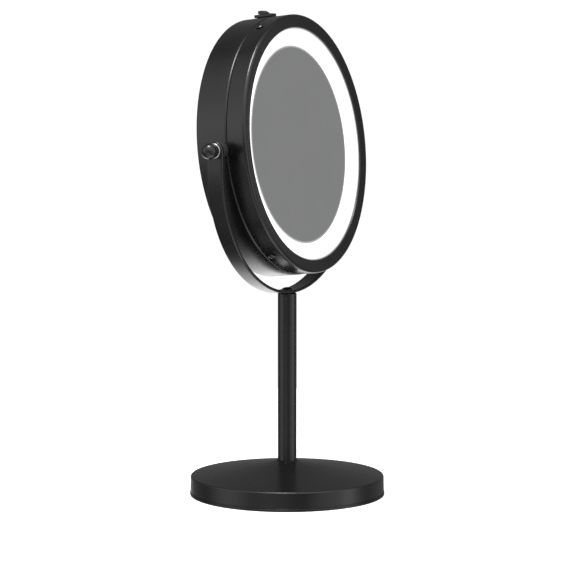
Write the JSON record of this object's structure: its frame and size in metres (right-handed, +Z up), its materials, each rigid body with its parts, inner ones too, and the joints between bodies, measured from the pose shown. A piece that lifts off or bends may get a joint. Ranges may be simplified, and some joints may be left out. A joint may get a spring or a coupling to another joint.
{
  "type": "shaving mirror",
  "caption": "Double-sided pedestal shaving mirror: a tilting round head with a battery-lit ring hangs in a U-shaped yoke on a stem and a weighted round base.",
  "frame": {"origin": "centre of the base's underside, on the surface that the mirror stands on", "axes": "+Z up along the stem; the lit side of the head faces -Y; the head's pivot axis runs along X"},
  "size_m": [0.2216, 0.1336, 0.3302],
  "materials": {
    "black_paint": "satin",
    "black_plastic": "satin",
    "black_nylon": "satin",
    "white_plastic": "satin",
    "opal_diffuser": "satin",
    "mirror_silver": "polished",
    "steel": "satin",
    "brass": "satin",
    "cast_iron": "matte",
    "rubber_pad": "matte",
    "foam": "matte",
    "circuit_board": "satin",
    "cell_wrap": "satin",
    "red_wire": "satin",
    "black_wire": "satin"
  },
  "bodies": {
    "stand": {"base_cover": "black_paint", "base_pad": "rubber_pad", "base_weight": "cast_iron", "base_washer": "steel", "base_bolt": "steel", "stem_tube": "black_paint", "stem_foot_insert": "brass", "stem_head_insert": "brass", "yoke": "black_paint", "yoke_screw": "black_paint"},
    "head": {"band_screw_1": "black_paint", "band_screw_2": "black_paint", "band_screw_3": "black_paint", "battery_1": "cell_wrap", "battery_2": "cell_wrap", "battery_3": "cell_wrap", "battery_spring_1": "steel", "battery_spring_2": "steel", "battery_spring_3": "steel", "battery_tray": "black_plastic", "contact_bridge_left": "steel", "contact_bridge_right": "steel", "contact_minus": "steel", "contact_plus": "steel", "front_mirror": "mirror_silver", "front_shell": "black_paint", "lead_plus": "red_wire", "lead_return": "black_wire", "lead_switched": "red_wire", "led_board": "circuit_board", "light_ring": "opal_diffuser", "mirror_pad": "foam", "pivot_spacer_left": "black_nylon", "pivot_spacer_right": "black_nylon", "pivot_stud_left": "steel", "pivot_stud_right": "steel", "pivot_washer_left": "black_nylon", "pivot_washer_right": "black_nylon", "rear_shell": "black_paint", "reflector_tray": "white_plastic", "switch_body": "black_plastic", "switch_plate": "black_plastic", "tray_screw_left": "steel", "tray_screw_right": "steel"},
    "knob_left": {"pivot_knob_left": "black_paint"},
    "knob_right": {"pivot_knob_right": "black_paint"},
    "switch_slider": {"switch_knob": "black_plastic"},
    "rear_cover": {"rear_cover": "black_paint", "magnifying_mirror": "mirror_silver", "mirror_backing": "black_plastic"}
  },
  "joints": [
    {"name": "head_tilt", "type": "hinge", "parent": "stand", "child": "head", "pos_m": [0, 0, 0.239], "axis": [1, 0, 0], "continuous": true},
    {"name": "knob_left_turn", "type": "hinge", "parent": "head", "child": "knob_left", "pos_m": [-0.0996, 0, 0.239], "axis": [-1, 0, 0], "range_deg": [0, 270]},
    {"name": "knob_right_turn", "type": "hinge", "parent": "head", "child": "knob_right", "pos_m": [0.0996, 0, 0.239], "axis": [1, 0, 0], "range_deg": [0, 270]},
    {"name": "switch_slide", "type": "slide", "parent": "head", "child": "switch_slider", "axis": [0, -0.9943, 0.1063], "range_m": [0, 0.0025]},
    {"name": "rear_cover_pull", "type": "slide", "parent": "head", "child": "rear_cover", "axis": [0, 0.9943, -0.1063], "range_m": [0, 0.03]}
  ]
}
